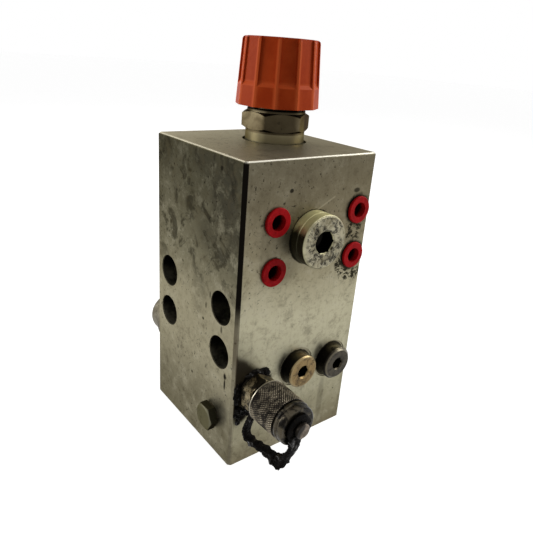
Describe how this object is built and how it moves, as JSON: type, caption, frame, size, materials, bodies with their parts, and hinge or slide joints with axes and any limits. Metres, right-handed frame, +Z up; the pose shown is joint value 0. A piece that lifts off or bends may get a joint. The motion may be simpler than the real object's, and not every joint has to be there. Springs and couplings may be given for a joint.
{
  "type": "hose burst valve",
  "caption": "Hose burst valve: steel block with a check valve behind a screw plug, a relief cartridge under a fluted cap, a test coupling with a strapped cap, and plugged ports.",
  "frame": {"origin": "centre of the block's base", "axes": "+Z up along the block, the face with the big screw plug looks along -Y, the cylinder port is on +X, the hose port is on +Y"},
  "size_m": [0.0832, 0.1395, 0.2036],
  "materials": {
    "block": "dull yellow-grey plating, lightly oiled",
    "plug": "yellow zinc plating",
    "dark_plug": "dark phosphated steel",
    "cartridge": "olive plating",
    "coupling": "plated steel",
    "oily_cap": "dark oily steel",
    "inner_steel": "bright machined steel",
    "spring_steel": "dark spring wire",
    "dome": "dull beige-grey plating",
    "seal": "matt black",
    "strap": "worn black",
    "red_plastic": "soft red",
    "orange_plastic": "orange-red"
  },
  "bodies": {
    "block": {"valve_block": "block", "expander_plugs": "inner_steel", "main_plug": "plug", "main_plug_ring": "plug", "main_spring": "spring_steel", "seat_sleeve": "inner_steel", "seat_sleeve_seal": "seal", "middle_port_plug": "plug", "middle_port_seal": "seal", "right_port_plug": "dark_plug", "right_port_seal": "seal", "flange_hole_plugs": "red_plastic", "cylinder_port_seal": "seal", "side_screw": "plug", "side_washer": "inner_steel", "hose_port_plug": "dome", "coupling_body": "coupling", "coupling_washer": "oily_cap", "coupling_retainer": "inner_steel", "coupling_spring": "spring_steel", "retaining_strap": "strap", "relief_body": "cartridge", "relief_body_seal": "seal", "relief_seat": "inner_steel", "relief_spring": "spring_steel", "relief_spring_guide": "inner_steel", "lock_nut": "inner_steel"},
    "poppet": {"main_poppet": "inner_steel"},
    "piston": {"pilot_piston": "inner_steel", "pilot_piston_seal": "seal"},
    "ball": {"coupling_ball": "inner_steel"},
    "test_cap": {"knurled_cap": "oily_cap", "cap_seal": "seal"},
    "cone": {"relief_cone": "inner_steel"},
    "set_screw": {"adjusting_screw": "inner_steel", "adjusting_screw_seal": "seal"},
    "cover": {"protective_cap": "orange_plastic"}
  },
  "joints": [
    {"name": "pilot_slide", "type": "slide", "parent": "block", "child": "piston", "axis": [0, -1, 0], "range_m": [0, 0.003], "stiffness_N_per_m": 400, "springref_m": -0.002},
    {"name": "poppet_slide", "type": "slide", "parent": "block", "child": "poppet", "axis": [0, -1, 0], "range_m": [0, 0.003], "deforming": ["main_spring"]},
    {"name": "ball_slide", "type": "slide", "parent": "block", "child": "ball", "axis": [0, 1, 0], "range_m": [0, 0.0015], "stiffness_N_per_m": 40, "springref_m": -0.002, "deforming": ["coupling_spring"]},
    {"name": "relief_slide", "type": "slide", "parent": "block", "child": "cone", "axis": [0, 0, 1], "range_m": [0, 0.001], "stiffness_N_per_m": 300, "springref_m": -0.003, "deforming": ["relief_spring"]},
    {"name": "adjuster_turn", "type": "hinge", "parent": "block", "child": "set_screw", "pos_m": [0.0091, 0.0046, 0.19], "axis": [0, 0, 1], "range_deg": [-90, 90]},
    {"name": "cover_turn", "type": "hinge", "parent": "block", "child": "cover", "pos_m": [0.0091, 0.0046, 0.19], "axis": [0, 0, 1], "continuous": true},
    {"name": "test_cap_turn", "type": "hinge", "parent": "block", "child": "test_cap", "pos_m": [-0.0263, -0.055, 0.0435], "axis": [0, -1, 0], "continuous": true}
  ],
  "couplings": [
    {"joint": "poppet_slide", "follows": "pilot_slide", "ratio": 1}
  ]
}
